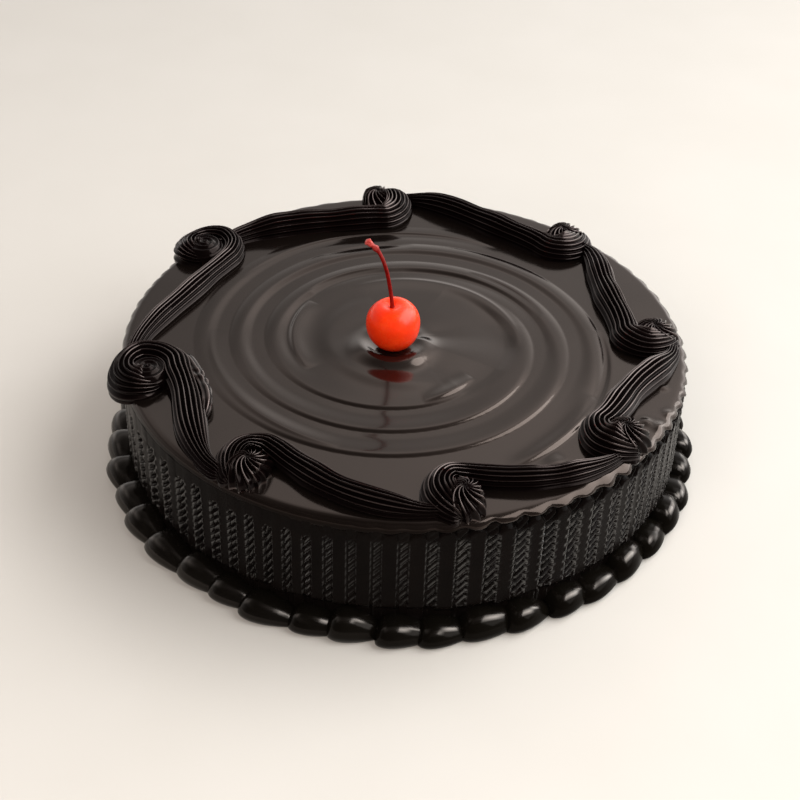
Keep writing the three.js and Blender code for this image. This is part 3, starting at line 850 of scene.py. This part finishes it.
def scrollMesh(index):
    rosette = rosettes[index]
    nextAngle = rosettes[(index + 1) % len(rosettes)]["angle"]
    if nextAngle < rosette["angle"]:  # the last rope runs on to the first rosette
        nextAngle += 360
    middle = coilMesh(rosette) if rosette["curl"] else domeMesh(rosette)
    mesh = unionOf(middle, ropeMesh(rosette, nextAngle))
    if index == fold["scroll"]:
        mesh = unionOf(mesh, foldMesh())
    x, y, z = vertPlaces(mesh)
    reach = np.hypot(x, y)
    z = z - scroll["droop"] * np.maximum(0, reach - scroll["droopFrom"]) ** 2
    turn = np.arctan2(y, x) + math.radians(rosette["angle"])
    movedMesh(mesh, reach * np.cos(turn), reach * np.sin(turn), z + top["height"] + scroll["sink"])
    # the crests get more shine and the paler colour of a painted highlight; both fade low down and over the
    # edge
    raised = ease((z - scroll["dullHeight"]) / scroll["dullRise"])
    shown = ease((scroll["dullFrom"] - reach) / scroll["dullWidth"])
    shown = shown * (scroll["lowShare"] + (1 - scroll["lowShare"]) * raised)
    markCrests(mesh, 0, scroll["fullCrest"] / np.maximum(scroll["leastShown"], shown))
    return mesh


for index in range(len(rosettes)):
    number = str(index + 1)
    placePiece("scroll" + number, scrollMesh(index), "scroll_" + number, icing,
               scroll["sharpAngle"])
print("scrolls made")


# cherry and its stalk

cherry = {
    "radius": 10, "x": -4.6, "y": -6.4, "z": 60.18, "around": 72, "rings": 48,
    "squash": 0.97, "fullness": 2.25, "fullest": 1.6,  # rounder at the shoulders than a ball
    "lumps": 0.018, "lumpLengths": (3.1, 2.7, 3.4),
    "dimple": 2.6, "dimpleWidth": 3.4, "dimpleX": -0.4,
}


def cherryMesh():
    bm = bmesh.new()
    bmesh.ops.create_uvsphere(bm, u_segments=cherry["around"], v_segments=cherry["rings"],
                              radius=cherry["radius"] * mm)
    bmesh.ops.recalc_face_normals(bm, faces=bm.faces[:])
    mesh = meshFrom(bm, "cherry")
    x, y, z = vertPlaces(mesh)
    lengthX, lengthY, lengthZ = cherry["lumpLengths"]
    lump = 1 + cherry["lumps"] * (np.sin(x / lengthX + 1) + np.sin(y / lengthY + 2) + np.sin(z / lengthZ))
    level = np.clip(np.abs(z) / cherry["radius"], 0, 1)
    fuller = (1 - level ** cherry["fullness"]) ** (1 / cherry["fullness"])
    fuller = fuller / np.maximum(np.sqrt(1 - level ** 2), 1e-6)
    fuller = np.where(level < 0.999, np.minimum(fuller, cherry["fullest"]), 1)  # not at the poles
    x, y, z = x * lump * fuller, y * lump * fuller, z * lump * cherry["squash"]
    away = np.hypot(x - cherry["dimpleX"], y)
    z = np.where(z > 0, z - cherry["dimple"] * np.exp(-(away / cherry["dimpleWidth"]) ** 2), z)
    return movedMesh(mesh, x + cherry["x"], y + cherry["y"], z + cherry["z"])


placePiece("cherryBall", cherryMesh(), "cherry", preservedCherry())

stalk = {
    "path": [(-0.4, 0, 6.6), (-1.2, 0, 14), (-3.2, 0, 24.5), (-6.2, 0, 31.5), (-10.4, 0, 35.8)],
    "radius": 0.72, "around": 20, "along": 120, "tip": 1.3,
    # knobs: place along the stalk, swell in mm and spread along it
    "knobs": [(0.0, 0.5, 0.03), (0.85, 0.45, 0.03), (0.93, 0.35, 0.025), (0.985, 0.85, 0.025)],
    "flutes": 3, "fluteDepth": 0.07, "fluteTwist": 9,
    "wrinkles": 2, "wrinkleDepth": 0.1, "wrinkleTwist": 60, "wrinkleFrom": 0.8, "wrinkleFade": 0.1,
}


def stalkMesh():
    path, tangent, length = smoothPath([np.array(point) for point in stalk["path"]], stalk["along"] + 1)
    mesh, u, v, row = tubeMesh("stalk", stalk["around"], stalk["along"])
    radius = np.full_like(u, stalk["radius"])
    for at, swell, spread in stalk["knobs"]:
        radius += swell * np.exp(-((v - at) / spread) ** 2)
    turn = u * fullTurn
    flutes = stalk["fluteDepth"] * np.sin(stalk["flutes"] * turn + v * stalk["fluteTwist"])
    wrinkles = stalk["wrinkleDepth"] * ease((v - stalk["wrinkleFrom"]) / stalk["wrinkleFade"])
    radius *= 1 + flutes + wrinkles * np.sin(stalk["wrinkles"] * turn + v * stalk["wrinkleTwist"])
    radius *= roundEnd((1 - v) / (stalk["tip"] / length))
    x = path[row, 0] + radius * np.cos(turn) * tangent[row, 2] + cherry["x"]
    y = path[row, 1] + radius * np.sin(turn) + cherry["y"]
    z = path[row, 2] - radius * np.cos(turn) * tangent[row, 0] + cherry["z"]
    movedMesh(mesh, x, y, z)
    return weldedMesh(mesh)


placePiece("cherryStalk", stalkMesh(), "cherry_stem", dyedStalk())
print("cherry made")


# floor, light and camera

def paleFloor():  # painted board: warm off-white, matt, barely mottled
    look = {"pale": "#CAC5C0", "shade": "#C4BFB9", "mottle": 60}
    material, tree, shader, spot = newMaterial("paintedBoard")
    mottle = addNode(tree, "ShaderNodeTexNoise", {"Scale": 1 / (look["mottle"] * mm)}, {"Vector": spot})
    tone = addNode(tree, "ShaderNodeMix",
                   {"data_type": "RGBA", 6: toLinear(look["pale"]), 7: toLinear(look["shade"])},
                   {0: mottle.outputs["Fac"]})
    setNode(tree, shader, {"Roughness": 0.7}, {"Base Color": tone.outputs[2]})
    return material


floorSide = 8000
floorMesh = gridMesh("floor", 12, 12)
floorX, floorY, floorZ = vertPlaces(floorMesh)
movedMesh(floorMesh, (floorX - 0.5) * floorSide, (floorY - 0.5) * floorSide, floorZ)
floorMesh.materials.append(paleFloor())
newObject("floor", floorMesh)

studio = {
    "tint": "#FFFAF5",
    "room": [  # axis of the direction, where it starts and ends to change, and the brightness at both
        ("Y", -0.35, 0.55, 0.08, 0.86),  # dim in front, bright at the back
        ("Z", 0.68, 0.9, 1.0, 0.29),  # dim overhead
        ("Z", 0.25, 0.5, 1.8, 1.0),  # brightest low down
        ("Z", 0.55, 0.64, 1.0, 1.62),  # brighter again higher up
        ("X", -0.2, 0.45, 0.6, 1.75),  # brighter on the right
    ],
    "aim": (0, 0, 0.04),
    "window": {"place": (0.93, 0.0, 0.84), "wide": 1.7, "high": 1.2, "watts": 29, "tint": "#F8FAF8",
               "mirrored": True},
    "fill": {"place": (-0.45, -1.0, 0.9), "wide": 0.9, "high": 0.9, "watts": 13, "tint": "#FFF6EE",
             "mirrored": False},  # doesn't show in the glaze
}


def studioWorld():  # pale room
    world = bpy.data.worlds.new("paleRoom")
    world.use_nodes = True
    tree = world.node_tree
    way = addNode(tree, "ShaderNodeSeparateXYZ", {},
                  {"Vector": addNode(tree, "ShaderNodeTexCoord").outputs["Generated"]})
    light = None
    for axis, start, end, atStart, atEnd in studio["room"]:
        share = addNode(tree, "ShaderNodeMapRange",
                        {"From Min": start, "From Max": end, "To Min": atStart, "To Max": atEnd},
                        {"Value": way.outputs[axis]}).outputs[0]
        if light:
            share = addNode(tree, "ShaderNodeMath", {"operation": "MULTIPLY"},
                            {0: light, 1: share}).outputs[0]
        light = share
    setNode(tree, tree.nodes["Background"], {"Color": toLinear(studio["tint"])}, {"Strength": light})
    bpy.context.scene.world = world


def softBox(name, box):
    lamp = bpy.data.lights.new(name, "AREA")
    lamp.shape = "RECTANGLE"
    lamp.size = box["wide"]
    lamp.size_y = box["high"]
    lamp.energy = box["watts"]
    lamp.color = toLinear(box["tint"])[:3]
    light = newObject(name, lamp)
    aim = Vector(studio["aim"]) - Vector(box["place"])
    light.matrix_world = Matrix.Translation(box["place"]) @ aim.to_track_quat("-Z", "Y").to_matrix().to_4x4()
    light.visible_camera = False
    light.visible_glossy = box["mirrored"]


studioWorld()
softBox("windowLight", studio["window"])
softBox("fillLight", studio["fill"])

view = {"place": (-1.07, -467.7, 377.8), "tilt": 0.6530, "roll": 0.0337, "lens": 68, "sensor": 36}
lens = bpy.data.cameras.new("camera")
lens.lens = view["lens"]
lens.sensor_width = view["sensor"]
camera = newObject("camera", lens)
camera.matrix_world = (Matrix.Translation(Vector(view["place"]) * mm)
                       @ Matrix.Rotation(math.pi / 2 - view["tilt"], 4, "X")
                       @ Matrix.Rotation(view["roll"], 4, "Z"))
bpy.context.scene.camera = camera
bpy.context.scene.view_settings.view_transform = "Standard"
print("stage made")
